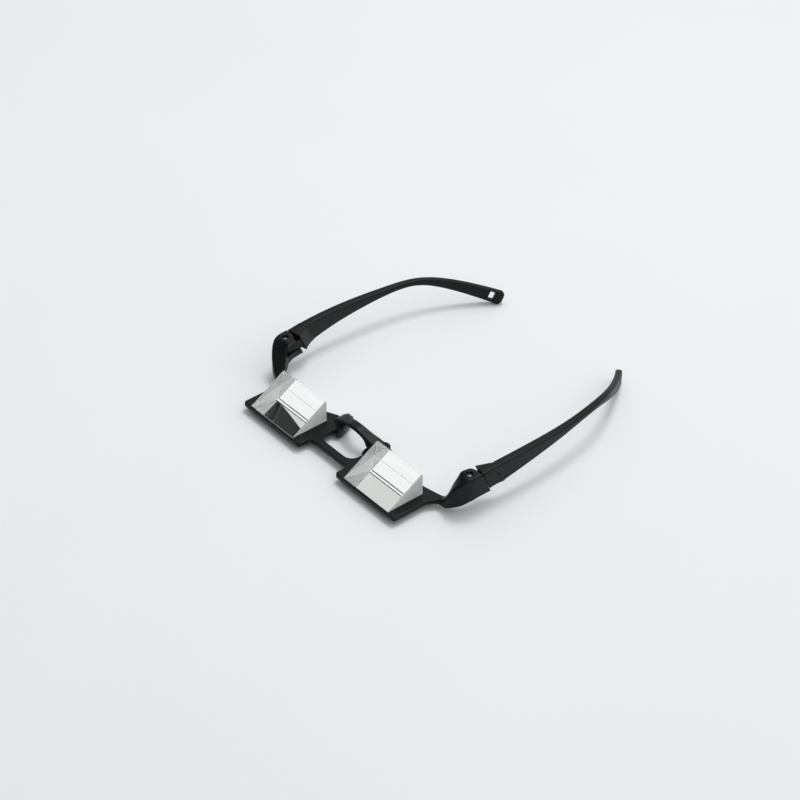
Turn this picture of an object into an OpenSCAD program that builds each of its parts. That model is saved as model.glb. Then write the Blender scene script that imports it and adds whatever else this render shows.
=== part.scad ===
// Prism glasses: two 30-60-90 degree prisms on a moulded shelf frame with folding temples.
// The origin lies under the middle of the whole object, on the surface that it stands on.
// +X is the wearer's left, +Y points back towards the wearer and +Z is up.
// Lengths marked "back" are measured from the shelves' front edge.

/* [Prisms] */
// Width of each prism
prism_w = 30; // [26:0.5:34]
// Depth of each prism's mirrored base
prism_d = 19.3; // [17:0.1:21]
// Angle between a prism's sloped face and its base
prism_angle = 30.5; // [28:0.5:32]
// Chamfer along the top edge of each prism
prism_chamfer = 0.8; // [0.4:0.1:1.2]
// Distance between the prism centres, the wearer's pupil distance
pupil_distance = 66; // [62:0.5:70]
// Thickness of the silvering and its protective paint under each prism
coat_t = 0.15; // [0.1:0.05:0.3]
// Thickness of the adhesive that holds each prism in its seat
glue_t = 0.2; // [0.1:0.05:0.3]

/* [Shelf frame] */
// Height of the shelves' top face above the surface that the glasses stand on
shelf_z = 4.7; // [4:0.1:6]
// Thickness of the shelves and the bridge bar
shelf_t = 2.2; // [1.6:0.1:3]
// Shelf left free beside a prism on its nose side
inner_margin = 5.3; // [3:0.1:7]
// Shelf left free beside a prism on its temple side
outer_margin = 4.9; // [3:0.1:7]
// Shelf left free in front of a prism
front_margin = 1; // [0.6:0.1:2]
// Shelf left free behind a prism
rear_margin = 3.4; // [2:0.1:5]
// Radius of the shelves' front corners
corner_r = 1.8; // [1:0.1:3]
// How far back the bridge bar's front face lies
bar_back = 6.8; // [5:0.1:8]
// Width of the bridge bar, front to back
bar_w = 3.9; // [3:0.1:5]
// Half width of the window between the bridge bar and the nose arch
window_half = 10.8; // [9:0.1:11.5]

/* [Nose arch] */
// Height of the arch's crest above the shelves' top face
arch_rise = 7.3; // [6:0.1:9]
// Thickness of the arch at its crest
arch_t = 2.1; // [1.6:0.1:3]
// How far back the middle of the arch lies
arch_back = 23.3; // [22.5:0.1:24]
// Half distance between the outer sides of the arch's feet
arch_foot = 18; // [17:0.1:19]
// Width of the arch at its crest, front to back
arch_w = 4.8; // [4:0.1:6]
// How far the arch's legs sweep back towards the pads
arch_sweep = 1.8; // [0.5:0.1:2.5]
// How much wider each leg is at its foot
arch_flare = 1.4; // [0.6:0.1:2]
// How quickly the outer side of a leg falls back, as a slope
arch_skew = 0.45; // [0:0.05:0.6]

/* [Nose pads] */
// Length of each soft pad, front to back
pad_l = 13.6; // [11:0.1:15]
// Height of each soft pad
pad_h = 7; // [5.5:0.1:8]
// Thickness of each soft pad at its crown
pad_t = 2.4; // [1:0.1:2.8]
// Lean of the pads, wider apart at the bottom
pad_lean = 10; // [5:0.5:15]
// Splay of the pads, wider apart towards the wearer
pad_splay = 22; // [15:1:30]
// Rise of the pads towards the wearer
pad_rise = 10; // [0:1:15]
// Thickness of the rigid wing behind each pad
wing_t = 1.3; // [1.2:0.1:2.5]
// How far the wing stands above the middle of its pad
wing_lift = 0.8; // [0.4:0.1:1.2]
// Radius of the two pegs that lock each pad in its wing
peg_r = 0.7; // [0.6:0.1:0.9]
// Distance between the pegs of a pad
peg_spacing = 6; // [4:0.5:7]

/* [Hinges] */
// Distance from a shelf's outer edge out to the hinge screw
pin_out = 10.9; // [10:0.1:13]
// How far back the hinge screws lie
pin_back = 32.7; // [31:0.1:35]
// Height of the hinge block's top above the shelves' top face
block_rise = 14.4; // [13:0.1:16]
// Half width of the hinge block at the screw
block_half = 3.9; // [3.5:0.1:4.5]
// Radius of the rounded ears about the screw
ear_r = 3.9; // [3.5:0.1:4.2]
// Thickness of the upper ear
ear_t = 3; // [2.4:0.1:3.6]
// Height of the temple's hinge tongue
tongue_h = 4.9; // [4:0.1:5.5]
// Radius of the tongue's round end
tongue_r = 2.5; // [2.1:0.1:2.7]
// Angle of the seam between block and temple, from vertical
seam_lean = 23.5; // [15:0.5:27]
// Gap of the seam between block and temple
seam_gap = 0.25; // [0.2:0.05:0.4]
// How quickly the seam opens towards the inside, as a slope
seam_open = 0.2; // [0:0.01:0.3]
// Gap around the tongue inside the block
tongue_gap = 0.3; // [0.25:0.05:0.4]
// Gap above and below the tongue
ear_gap = 0.1; // [0.05:0.05:0.2]
// Shank radius of the hinge screw
screw_r = 0.7; // [0.6:0.05:0.8]
// Radial clearance of the screw in the tongue's bore
screw_clear = 0.05; // [0.03:0.01:0.08]
// Head radius of the hinge screw
head_r = 1.3; // [1.1:0.05:1.4]
// Head height of the hinge screw
head_t = 0.8; // [0.6:0.1:1]
// Gap around the screw's head in its recess
head_gap = 0.3; // [0.1:0.05:0.4]
// How deep the screw's head lies below the block's top
head_sink = 0.4; // [0.1:0.1:0.6]
// Outer radius of the brass insert in the lower ear
insert_r = 1.25; // [1.1:0.05:1.4]
// Length of the brass insert
insert_l = 3; // [2.5:0.1:3.5]

/* [Temples] */
// Distance from the hinge screw back to the end of the temple's centre line
temple_reach = 110.5; // [105:0.5:116]
// How far the temple's end lies inward of the hinge screw
tip_inset = 22.8; // [18:0.5:28]
// Height of the temple's end above the surface
tip_z = 3.5; // [3:0.1:3.8]
// Height of the temple's section just behind the hinge
temple_h = 10.6; // [10:0.1:12]
// Height of the temple's section at its end
tip_h = 7.1; // [6:0.1:7.6]
// Thickness of the temple behind the hinge
temple_t = 4; // [3.4:0.1:4.6]
// Thickness of the temple at its end
tip_t = 3.2; // [2.6:0.1:3.6]
// How far the temple's centre line bows out past the hinge screw
bow_out = 4.2; // [3:0.1:5]
// Rise of the temple's crest, as pull on its centre line above the shelves' top face
crest_pull = 17.5; // [15:0.5:20]
// Half width of the temple's flared front end
flare_half = 3.75; // [3.2:0.05:3.9]
// Height of the flared front's lower edge above the shelves' top face
flare_low = 3.9; // [3:0.1:5]
// Radius along the temple's edges
edge_r = 0.7; // [0.4:0.1:1]
// Depth of the long panel sunk in each side of the temple
panel_depth = 0.25; // [0.1:0.05:0.4]
// Height of the rib left along the top of the panel
rib_h = 1.3; // [1:0.1:2]
// Length of the fine slit in the outer face behind the hinge
slit_l = 4.4; // [3:0.1:5]
// Distance from the hinge screw back to the slit
slit_back = 13; // [11:0.5:15]
// Length of the cord slot in each temple end
slot_l = 2.7; // [2:0.1:3]
// Height of the cord slot
slot_h = 4.8; // [3.6:0.1:5]
// Chamfer around both ends of the cord slot
slot_flare = 0.5; // [0.2:0.1:0.6]
// Radius of the temple end's corners
tip_r = 2.2; // [1.5:0.1:2.6]

/* [Hidden] */
$fn = 48;
// Half of the overall length, so that the origin is in the middle
mid_back = 72.8;
// Place of the cord slot along the temple
slot_t = 0.98;
prism_h = prism_d * tan(prism_angle);
seat_depth = coat_t + glue_t;
shelf_in = pupil_distance / 2 - prism_w / 2 - inner_margin;
shelf_out = pupil_distance / 2 + prism_w / 2 + outer_margin;
shelf_back = front_margin + prism_d + rear_margin;
pin_x = shelf_out + pin_out;
block_top = shelf_z + block_rise;
head_z = block_top - head_sink - head_t;
bay_top = block_top - ear_t;
bay_bottom = bay_top - tongue_h - 2 * ear_gap;
seam_slope = tan(seam_lean);
black = "#2a2c2d";

// Point of a Bezier curve at t
function bezier(p, t) = len(p) == 1 ? p[0]
    : bezier([for (i = [0 : len(p) - 2]) p[i] * (1 - t) + p[i + 1] * t], t);
function unit(v) = v / norm(v);
function ramp(t) = let (s = max(0, min(1, t))) s * s * (3 - 2 * s);

// Arc that rounds corner b between a and c with radius r
function corner_arc(a, b, c, r, steps) = let (
        u = unit(a - b),
        v = unit(c - b),
        half = acos(u * v) / 2,
        centre = b + unit(u + v) * r / sin(half),
        from = b + u * r / tan(half) - centre,
        to = b + v * r / tan(half) - centre,
        sweep = (180 - 2 * half) * sign(cross(from, to)),
        start = atan2(from[1], from[0]))
    [for (i = [0 : steps]) centre + r * [cos(start + sweep * i / steps), sin(start + sweep * i / steps)]];

// Outline through points [x, y, r], each corner rounded with its own radius
function rounded(p, steps = 6) = [for (i = [0 : len(p) - 1]) let (
        a = p[(i + len(p) - 1) % len(p)],
        b = p[i],
        c = p[(i + 1) % len(p)])
    each (b[2] == 0 ? [[b[0], b[1]]]
        : corner_arc([a[0], a[1]], [b[0], b[1]], [c[0], c[1]], b[2], steps))];

// Rounded rectangle section with one corner radius for its bottom and one for its top
function plain_section(ha, hb, low, high, steps = 4) = [for (q = [0 : 3]) let (
        sx = q < 2 ? 1 : -1,
        sy = q == 1 || q == 2 ? 1 : -1,
        r = sy < 0 ? low : high)
    each [for (i = [0 : steps]) let (angle = 90 * (q - 1 + i / steps))
        [sx * (ha - r), sy * (hb - r)] + r * [cos(angle), sin(angle)]]];

// Section with its sides sunk by depth below a rib along the top
function rib_section(ha, hb, r, depth) = let (
        low = plain_section(ha - depth, hb, r, r),
        high = plain_section(ha, hb, r, r),
        step = [hb - rib_h - 0.15, hb - rib_h])
    concat([for (i = [0 : 4]) low[i]], [[ha - depth, step[0]], [ha, step[1]]],
        [for (i = [5 : 14]) high[i]], [[-ha, step[1]], [depth - ha, step[0]]],
        [for (i = [15 : 19]) low[i]]);

// Section points placed in space at c along the directions a and b
function placed(points, c, a, b) = [for (q = points) c + a * q[0] + b * q[1]];

// Solid through a list of rings, each with the same number of points
module loft(rings) {
    n = len(rings[0]);
    m = len(rings);
    sides = [for (j = [0 : m - 2], i = [0 : n - 1]) let (k = (i + 1) % n)
        each [[j * n + i, (j + 1) * n + i, (j + 1) * n + k], [j * n + i, (j + 1) * n + k, j * n + k]]];
    caps = [[for (i = [0 : n - 1]) i], [for (i = [0 : n - 1]) m * n - 1 - i]];
    polyhedron(points = [for (ring = rings) each ring], faces = concat(sides, caps));
}

// Moves a piece from lengths measured back from the front edge to the origin
module set_back() {
    translate([0, -mid_back, 0]) children();
}

module on_right() {
    mirror([1, 0, 0]) children();
}

module on_both() {
    children();
    mirror([1, 0, 0]) children();
}

// Outline of both shelves, the bridge bar and the lobes under the arch, seen from above
half_outline = [
    [shelf_in, bar_back, 2],
    [shelf_in, 0, corner_r],
    [shelf_out, 0, corner_r],
    [shelf_out, shelf_back - 5.5, 3],
    [shelf_out + 3.1, shelf_back - 0.6, 2],
    [shelf_out + 3.1, shelf_back + 3, 0.5],
    [shelf_out, shelf_back + 2, 6],
    [shelf_out - 9, shelf_back + 0.3, 12],
    [arch_foot + 7, shelf_back, 8],
    [arch_foot, arch_back + 3.6, 2],
    [window_half - 1.3, arch_back + 3.6, 1.5],
    [window_half, bar_back + bar_w + 7, 8],
    [window_half - 0.3, bar_back + bar_w, 4.5]];

module shelf_plate() {
    left = half_outline;
    right = [for (i = [len(left) - 1 : -1 : 0]) [-left[i][0], left[i][1], left[i][2]]];
    translate([0, 0, shelf_z - shelf_t])
        linear_extrude(shelf_t) polygon(rounded(concat(left, right)));
}

// Inner and outer curve of the arch, as [x, z] over the shelves' top face
arch_inner = [[0, arch_rise - arch_t], [4.2, arch_rise - arch_t], [6.6, arch_rise * 0.55],
    [8.6, arch_rise * 0.3], [9.2, -shelf_t + 0.2]];
arch_outer = [[0, arch_rise], [5.6, arch_rise + 0.3], [4.6, arch_rise * 0.55],
    [12.4, arch_rise * 0.71], [arch_foot - 1, -0.3]];

function arch_ring(u) = let (
        side = u < 0 ? -1 : 1,
        inner = bezier(arch_inner, abs(u)),
        outer = bezier(arch_outer, abs(u)),
        across = (outer - inner) / 2,
        middle = (outer + inner) / 2,
        width = arch_w / 2 + arch_flare / 2 * ramp(abs(u)),
        back = arch_back - 0.4 + arch_sweep * ramp(abs(u)))
    placed(plain_section(width, norm(across), 0.9, 0.95),
        [side * middle[0], back, shelf_z + middle[1]],
        [0, 1, 0], [side * unit(across)[0], arch_skew * ramp(abs(u)), unit(across)[1]]);

module nose_arch() {
    steps = 12;
    loft([for (i = [-steps : steps]) arch_ring(i / steps)]);
}

// Places a piece in the frame of a pad: X points out from the nose, Y along the pad and Z up
module at_pad() {
    translate([pad_out, pad_back, shelf_z + pad_mid])
        rotate([0, 0, -pad_splay]) rotate([0, -pad_lean, 0]) rotate([pad_rise, 0, 0]) children();
}
pad_out = 11.6;
pad_back = 24.6;
pad_mid = -1.55;

// Oval outline of a pad or a wing
function oval(l, h) = [for (a = [0 : 12 : 348]) [l / 2 * cos(a), h / 2 * sin(a)]];

module nose_wing() {
    at_pad() translate([0, 0, wing_lift]) rotate([90, 0, 90])
        linear_extrude(wing_t) polygon(oval(pad_l - 0.6, pad_h + 0.2));
}

module pad_pegs(r, from, to) {
    for (side = [-1, 1]) translate([from, side * peg_spacing / 2, -1.2])
        rotate([0, 90, 0]) cylinder(h = to - from, r = r, $fn = 24);
}

// Point of the smooth curve through the entries of list p, at u entries from the first
function through(p, u) = let (
        i = min(floor(u), len(p) - 2),
        t = u - i,
        a = p[max(i - 1, 0)],
        b = p[i],
        c = p[i + 1],
        d = p[min(i + 2, len(p) - 1)])
    b + (c - a) * t / 2 + (2 * a - 5 * b + 4 * c - d) * t * t / 2 + (3 * b - a - 3 * c + d) * t * t * t / 2;

// Rings of the block, each [x, y, heading, half width, bottom, top, bottom radius, top radius]
block_rings = [
    [shelf_out - 1.6, shelf_back - 1, 90, 2.4, 0.15 - shelf_t, -0.15, 0.8, 0.8],
    [shelf_out + 1, shelf_back - 0.2, 82, 2.2, 0.05 - shelf_t, -0.05, 0.8, 0.8],
    [shelf_out + 3.1, shelf_back + 0.8, 68, 2, -shelf_t - 0.5, 0.5, 1, 1],
    [shelf_out + 5.1, shelf_back + 1.3, 62, 2.5, -shelf_t - 0.6, 2.5, 1.3, 1.2],
    [shelf_out + 7.3, shelf_back + 2.6, 50, 3.2, -1.8, 8, 1.8, 1.4],
    [shelf_out + 9.4, shelf_back + 4.9, 32, 3.7, -0.4, 12.2, 2, 1.4],
    [pin_x - 0.5, pin_back - 2.4, 16, block_half, 0.8, block_rise - 0.4, 2.2, 1.2],
    [pin_x + 0.1, pin_back, 8, block_half, 1.4, block_rise, 2.3, 0.9],
    [pin_x + 0.5, pin_back + 3, 4, block_half - 0.2, 1.8, block_rise, 2.3, 0.9],
    [pin_x + 0.9, pin_back + 10, 1, block_half - 0.3, 2.1, block_rise, 2.2, 0.9]];

function block_ring(b) = let (
        heading = [sin(b[2]), cos(b[2]), 0],
        top = min(b[5], block_rise),
        middle = (b[4] + top) / 2)
    placed(plain_section(b[3], (top - b[4]) / 2, b[6], b[7]),
        [b[0], b[1], shelf_z + middle], cross([0, 0, 1], heading), [0, 0, 1]);

// Space behind the seam plane, moved back by gap
module behind_seam(gap = 0) {
    translate([0, pin_back + ear_r + gap / cos(seam_lean), block_top])
        rotate([seam_lean, 0, 0]) translate([shelf_out, 0, -60]) cube([40, 60, 90]);
}

// Cone about the screw that the folding temple turns around
module ear_cone() {
    reach = 20;
    translate([pin_x, pin_back, block_top - reach])
        cylinder(h = reach + 1, r1 = ear_r + reach * seam_slope, r2 = ear_r - seam_slope);
}

module hinge_block() {
    difference() {
        loft([for (u = [0 : 0.5 : len(block_rings) - 1]) block_ring(through(block_rings, u))]);
        behind_seam();
        // The inner rear side of the ears is round, so that the temple can fold
        difference() {
            translate([pin_x - 20, pin_back, shelf_z - 10]) cube([20, 20, 40]);
            ear_cone();
        }
        // Bay for the temple's tongue, open to the inside and the rear
        translate([pin_x, pin_back, bay_bottom]) {
            cylinder(h = bay_top - bay_bottom, r = tongue_r + tongue_gap);
            translate([-20, -tongue_r - tongue_gap, 0])
                cube([20, 30, bay_top - bay_bottom]);
            translate([-1, 0, 0])
                cube([1 + tongue_r + tongue_gap, 20, bay_top - bay_bottom]);
        }
        // Screw bore, head seat and insert bore
        translate([pin_x, pin_back, bay_bottom - 1]) cylinder(h = 20, r = screw_r + screw_clear);
        translate([pin_x, pin_back, head_z]) cylinder(h = 5, r = head_r + head_gap);
        translate([pin_x, pin_back, bay_bottom - insert_l]) cylinder(h = insert_l + 1, r = insert_r);
    }
}

module frame_front() {
    color(black) set_back() {
        difference() {
            union() {
                shelf_plate();
                nose_arch();
                on_both() nose_wing();
            }
            // Seats of the prisms
            on_both() translate([pupil_distance / 2 - prism_w / 2, front_margin, shelf_z - seat_depth])
                cube([prism_w, prism_d, 20]);
            // Flat seats and peg holes of the pads
            on_both() at_pad() {
                translate([-6, -pad_l / 2 - 0.4, -pad_h]) cube([6, pad_l + 0.8, pad_h * 1.5 + 0.2]);
                pad_pegs(peg_r, -1, wing_t + 0.3);
            }
        }
        on_both() hinge_block();
    }
}

// Wedge with its right angle at the rear of the base and a chamfer along the top edge
module prism() {
    profile = [
        [0, 0],
        [prism_d, 0],
        [prism_d, prism_h - prism_chamfer],
        [prism_d - prism_chamfer, prism_h - prism_chamfer * tan(prism_angle)]];
    color("#eef2f4", 0.5) set_back()
        translate([pupil_distance / 2 - prism_w / 2, front_margin, shelf_z])
            rotate([90, 0, 90]) linear_extrude(prism_w) polygon(profile);
}

module mirror_coat() {
    color("#9ba0a2") set_back()
        translate([pupil_distance / 2 - prism_w / 2, front_margin, shelf_z - coat_t])
            cube([prism_w, prism_d, coat_t]);
}

module prism_adhesive() {
    color("#d8d6cc") set_back()
        translate([pupil_distance / 2 - prism_w / 2, front_margin, shelf_z - seat_depth])
            cube([prism_w, prism_d, glue_t]);
}

// Crowned soft pad with the pegs that lock it in its wing
module nose_pad() {
    shape = [[0, 1], [0.45, 1], [0.8, 0.86], [1, 0.52]];
    color("#26292e") set_back() intersection() {
        at_pad() {
            loft([for (s = shape) [for (q = oval(pad_l, pad_h)) [-s[0] * pad_t, -q[0] * s[1], q[1] * s[1]]]]);
            pad_pegs(peg_r, -0.5 * pad_t, wing_t + 0.2);
        }
        // The foot of the pad is flat where it stands
        cube([40, 60, 40]);
    }
}

// Centre line of the temple as offsets from the screw, with the height above the surface
temple_path = [
    [bow_out * 0.52, temple_reach * 0.107, shelf_z + crest_pull * 0.53],
    [bow_out, temple_reach * 0.424, shelf_z + crest_pull * 0.8],
    [-bow_out * 0.07, temple_reach * 0.654, shelf_z + crest_pull * 0.543],
    [-bow_out * 0.67, temple_reach * 0.632, shelf_z + crest_pull],
    [bow_out * 0.29, temple_reach * 0.754, shelf_z + crest_pull * 0.686],
    [-tip_inset, temple_reach, tip_z]];
temple_heights = [temple_h, temple_h * 0.34, temple_h * 0.02, temple_h * 0.32, tip_h];
temple_widths = [temple_t, temple_t, temple_t * 0.7, tip_t];

function temple_centre(t) = [pin_x, pin_back, 0] + bezier(temple_path, t);
function temple_heading(t) = unit(bezier(temple_path, t + 0.001) - bezier(temple_path, t - 0.001));

// Depth of the side panel at t: it starts at the crease and fades out along the temple
function panel_at(t) = panel_depth * ramp((t - crease) * 400) * (1 - ramp((t - 0.3) * 4));

function temple_ring(t, shrink = 0, ahead = 0, lean = 0) = let (
        heading = temple_heading(t),
        across = unit(cross([0, 0, 1], heading)),
        up = cross(heading, across),
        hb = bezier(temple_heights, t) / 2 - shrink,
        ha = bezier(temple_widths, t) / 2 - shrink * 0.6,
        low = edge_r + 0.3 * ramp(t * 2),
        ring = placed(rib_section(ha, hb, min(low, ha - 0.1), panel_at(t)),
            temple_centre(t) + heading * ahead, across, up))
    [for (q = ring) q + [0, lean * (temple_centre(t)[2] - q[2]), 0]];

// Rings of the widened front end, sheared to lie along the seam and to open it inwards
crease = 0.014;
function temple_front_ring(s) = let (
        start = temple_centre(crease),
        half_h = (block_rise - flare_low) / 2,
        middle = shelf_z + flare_low + half_h,
        rise = 1.6 * s * (1 - s),
        seam_back = pin_back + ear_r + (block_top - middle) * seam_slope + seam_gap / cos(seam_lean),
        x = (pin_x + 0.45) * (1 - s) + start[0] * s,
        y = seam_back * (1 - s) + start[1] * s,
        z = middle * (1 - s) + start[2] * s + rise / 2,
        ha = flare_half * (1 - s) + temple_t / 2 * s,
        hb = half_h * (1 - s) + temple_h / 2 * s - rise / 2,
        open = seam_open * (1 - s) * (pin_x + flare_half + 0.45),
        ring = placed(rib_section(ha, hb, 1.3 - 0.6 * s, 0), [x, y, z], [-1, 0, 0], [0, 0, 1]))
    [for (q = ring) q + [0, seam_slope * (z - q[2]) + open - seam_open * (1 - s) * q[0], 0]];

module temple_body() {
    front = [for (s = [0, 0.25, 0.5, 0.75]) temple_front_ring(s)];
    steps = 36;
    arm = [for (i = [0, 0.1, each [1 : steps]]) let (t = crease + (1 - crease) * i / steps)
        temple_ring(t, lean = seam_slope * (1 - ramp(t * 5)))];
    end = [for (a = [22, 45, 68]) temple_ring(1, shrink = tip_r * (1 - cos(a)), ahead = tip_r * sin(a))];
    loft(concat(front, arm, end));
}

// Slot for a retaining cord, which widens by its chamfer at both faces of the temple's end
module cord_slot() {
    cube([12, slot_l, slot_h], center = true);
    for (side = [-1, 1])
        hull() for (i = [0, 1])
            translate([side * (tip_t / 2 + (2 * i - 1) * slot_flare), 0, 0])
                cube([0.01, slot_l + 4 * i * slot_flare, slot_h + 4 * i * slot_flare], center = true);
}

module temple() {
    heading = temple_heading(slot_t);
    color(black) set_back() difference() {
        union() {
            temple_body();
            // Tongue of the hinge
            translate([pin_x, pin_back, bay_bottom + ear_gap]) {
                cylinder(h = tongue_h, r = tongue_r);
                translate([-tongue_r, 0, 0]) cube([2 * tongue_r - 0.4, 9, tongue_h]);
            }
        }
        translate([pin_x, pin_back, bay_bottom - 1]) cylinder(h = tongue_h + 3, r = screw_r + screw_clear);
        translate(temple_centre(slot_t)) rotate([asin(heading[2]), 0, atan2(-heading[0], heading[1])])
            cord_slot();
        // Fine slit in the outer face
        translate([pin_x + flare_half + 0.45, pin_back + slit_back, block_top - 4]) rotate([34, 0, 0])
            cube([1.3, 0.35, slit_l], center = true);
    }
}

module hinge_screw() {
    color("#8d9092") set_back() translate([pin_x, pin_back, 0]) {
        translate([0, 0, head_z]) cylinder(h = head_t, r = head_r);
        translate([0, 0, bay_bottom - insert_l + 0.3])
            cylinder(h = head_z - bay_bottom + insert_l, r = screw_r);
    }
}

module hinge_insert() {
    color("#b5893f") set_back() translate([pin_x, pin_back, bay_bottom - insert_l]) difference() {
        cylinder(h = insert_l, r = insert_r);
        translate([0, 0, -1]) cylinder(h = insert_l + 2, r = screw_r + 0.02);
    }
}

frame_front();
prism();  // left_prism
on_right() prism();  // right_prism
mirror_coat();  // left_mirror_coat
on_right() mirror_coat();  // right_mirror_coat
prism_adhesive();  // left_prism_adhesive
on_right() prism_adhesive();  // right_prism_adhesive
nose_pad();  // left_nose_pad
on_right() nose_pad();  // right_nose_pad
temple();  // left_temple
on_right() temple();  // right_temple
hinge_screw();  // left_hinge_screw
on_right() hinge_screw();  // right_hinge_screw
hinge_insert();  // left_hinge_insert
on_right() hinge_insert();  // right_hinge_insert
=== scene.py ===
import bpy
import bmesh
import numpy as np
from mathutils import Matrix


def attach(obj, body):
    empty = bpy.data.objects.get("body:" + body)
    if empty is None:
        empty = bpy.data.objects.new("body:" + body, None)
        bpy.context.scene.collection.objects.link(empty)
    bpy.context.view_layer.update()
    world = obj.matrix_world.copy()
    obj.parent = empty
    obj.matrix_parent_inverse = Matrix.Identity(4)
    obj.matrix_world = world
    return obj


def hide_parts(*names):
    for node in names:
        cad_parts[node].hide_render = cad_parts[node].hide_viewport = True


bl_info = {
    "name": "Prism glasses",
    "version": (1, 0, 0),
    "blender": (4, 5, 0),
    "location": "3D View > Sidebar > Glasses",
    "description": "Dresses a pair of prism glasses: moulded nylon, optical glass, rubber and steel",
    "category": "Object",
}

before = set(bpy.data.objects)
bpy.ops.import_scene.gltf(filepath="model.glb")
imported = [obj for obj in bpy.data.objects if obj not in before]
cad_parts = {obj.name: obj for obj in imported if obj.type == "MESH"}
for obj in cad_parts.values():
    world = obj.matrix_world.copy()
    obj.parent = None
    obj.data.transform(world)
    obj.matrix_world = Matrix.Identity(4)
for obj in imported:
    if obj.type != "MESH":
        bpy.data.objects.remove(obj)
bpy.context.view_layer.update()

MM = 0.001         # a millimetre, in metres
SHELF_Z = 4.7      # height of the shelves' top above the table
MID_BACK = 72.8    # from the shelves' front edge back to the object's middle

# The stage, in metres. The camera's axes point right, up and back.
LIT_SIDE = (0.5, 0.87, 0)
SOFTBOX_WIDTH, SOFTBOX_AT = 0.42, (-0.1, 0.36, 1.2)
CAMERA_AT = (0.66989, -0.58479, 0.68989)
CAMERA_AXES = ((0.6412, 0.7674, 0), (-0.47011, 0.3928, 0.79044), (0.60656, -0.50681, 0.6126))

# Colours and nodes

def linear(code, alpha=1.0):
    """sRGB hex code to a linear colour."""
    c = np.array([int(code[i:i + 2], 16) for i in (1, 3, 5)]) / 255
    return (*np.where(c <= 0.04045, c / 12.92, ((c + 0.055) / 1.055) ** 2.4), alpha)


def add(tree, kind, settings=(), **links):
    """Adds one node. settings holds its properties, links its inputs: a value, or an output to join."""
    node = tree.nodes.new("ShaderNode" + kind)
    for key, value in dict(settings).items():
        setattr(node, key, value)
    for key, value in links.items():
        name = key.replace("_", " ")
        socket = node.inputs[int(key[1:])] if key[1:].isdigit() else node.inputs[name]
        if isinstance(value, bpy.types.NodeSocket):
            tree.links.new(value, socket)
        else:
            socket.default_value = value
    return node


def new_material(name, **sockets):
    """A material of one Principled shader with these socket values.
    Gives the material, its tree, its shader and the object coordinates."""
    mat = bpy.data.materials.new(name)
    mat.use_nodes = True
    tree = mat.node_tree
    shader = tree.nodes["Principled BSDF"]
    for key, value in sockets.items():
        shader.inputs[key.replace("_", " ")].default_value = value
    place = add(tree, "TexCoord").outputs["Object"]
    return mat, tree, shader, place


def feed(shader, **outputs):
    """Joins outputs to the shader's sockets of these names."""
    for key, output in outputs.items():
        shader.id_data.links.new(output, shader.inputs[key.replace("_", " ")])


def chosen(name, times=1.0):
    """A colour from the panel, made darker or lighter."""
    return (*(v * times for v in getattr(bpy.context.scene.glasses_colours, name)), 1.0)


# Shapes, in millimetres, with "back" measured from the shelves' front edge

def bezier(points, t):
    """Bezier curve through the control rows, by repeated averaging of neighbours, at each t."""
    rows = np.asarray(points, float)
    rows = rows.reshape(len(rows), 1, -1) * np.ones((1, len(t), 1))
    t = np.asarray(t, float)[None, :, None]
    while len(rows) > 1:
        rows = rows[:-1] * (1 - t) + rows[1:] * t
    return rows[0]


def through(points, u):
    """Catmull-Rom curve through the rows, at u rows from the first."""
    p = np.asarray(points, float)
    i = np.minimum(np.floor(u).astype(int), len(p) - 2)
    t = (u - i)[:, None]
    a, b, c, d = p[np.maximum(i - 1, 0)], p[i], p[i + 1], p[np.minimum(i + 2, len(p) - 1)]
    return (b + (c - a) * t / 2 + (2 * a - 5 * b + 4 * c - d) * t ** 2 / 2
            + (3 * b - a - 3 * c + d) * t ** 3 / 2)


def ramp(t):
    """Smooth step from 0 to 1."""
    s = np.clip(t, 0, 1)
    return s * s * (3 - 2 * s)


def unit(v):
    """Vectors of length 1 in the same directions."""
    return v / np.linalg.norm(v, axis=-1, keepdims=True)


def rounded_outline(corners, steps=10):
    """Closed outline through rows [x, y, r]. Each corner is an arc of radius r, tangent to both sides."""
    p = np.asarray(corners, float)
    b, r = p[:, :2], p[:, 2:]
    u, v = unit(np.roll(b, 1, 0) - b), unit(np.roll(b, -1, 0) - b)
    half = np.arccos((u * v).sum(1, keepdims=True)) / 2
    centre = b + unit(u + v) * r / np.sin(half)
    start = b + u * r / np.tan(half) - centre
    stop = b + v * r / np.tan(half) - centre
    sweep = (np.pi - 2 * half) * np.sign(start[:, :1] * stop[:, 1:] - start[:, 1:] * stop[:, :1])
    angle = np.arctan2(start[:, 1:], start[:, :1]) + sweep * np.linspace(0, 1, steps + 1)
    return (centre[:, None] + r[:, None] * np.stack([np.cos(angle), np.sin(angle)], -1)).reshape(-1, 2)


def sections(half_a, half_b, low, high, steps=8):
    """Rounded rectangles, one per row: radius low at the bottom's corners and high at the top's."""
    half_a, half_b, low, high = (
        np.atleast_1d(x).astype(float)[:, None, None] for x in (half_a, half_b, low, high))
    quarter = np.arange(4)
    side = np.where(quarter < 2, 1, -1)[None, :, None]
    rise = np.where((quarter == 1) | (quarter == 2), 1, -1)[None, :, None]
    r = np.where(rise < 0, low, high)
    angle = np.pi / 2 * (quarter[None, :, None] - 1 + np.linspace(0, 1, steps + 1)[None, None, :])
    x = side * (half_a - r) + r * np.cos(angle)
    y = rise * (half_b - r) + r * np.sin(angle)
    return np.stack([x, y], -1).reshape(len(x), -1, 2)


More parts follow.
